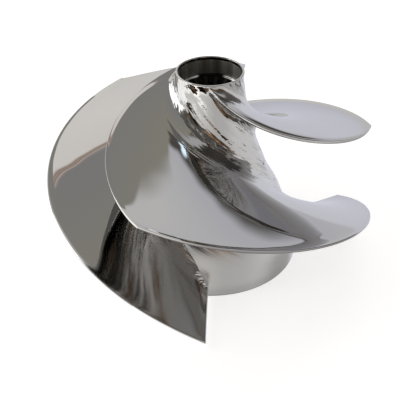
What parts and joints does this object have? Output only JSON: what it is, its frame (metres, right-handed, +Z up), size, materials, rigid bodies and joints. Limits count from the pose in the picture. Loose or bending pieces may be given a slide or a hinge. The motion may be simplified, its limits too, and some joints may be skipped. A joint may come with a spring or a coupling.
{
  "type": "jet pump impeller",
  "caption": "Polished steel jet pump impeller: swept, overlapping blades on a bell-shaped hub, with a splined nose bore and a threaded, hollow rear.",
  "frame": {"origin": "centre of the hub's rear ring, on the face it stands on", "axes": "+Z up the shaft axis from the rear ring to the nose; -Y towards the viewer of the picture, where the trailing edge of blade_1 lies"},
  "size_m": [0.155, 0.155, 0.0958],
  "materials": {
    "polished_stainless_steel": "mirror-polished stainless steel casting, with hand-ground facets around the nose"
  },
  "bodies": {
    "root": {"hub": "polished_stainless_steel", "blade_1": "polished_stainless_steel", "blade_2": "polished_stainless_steel", "blade_3": "polished_stainless_steel"}
  },
  "joints": []
}
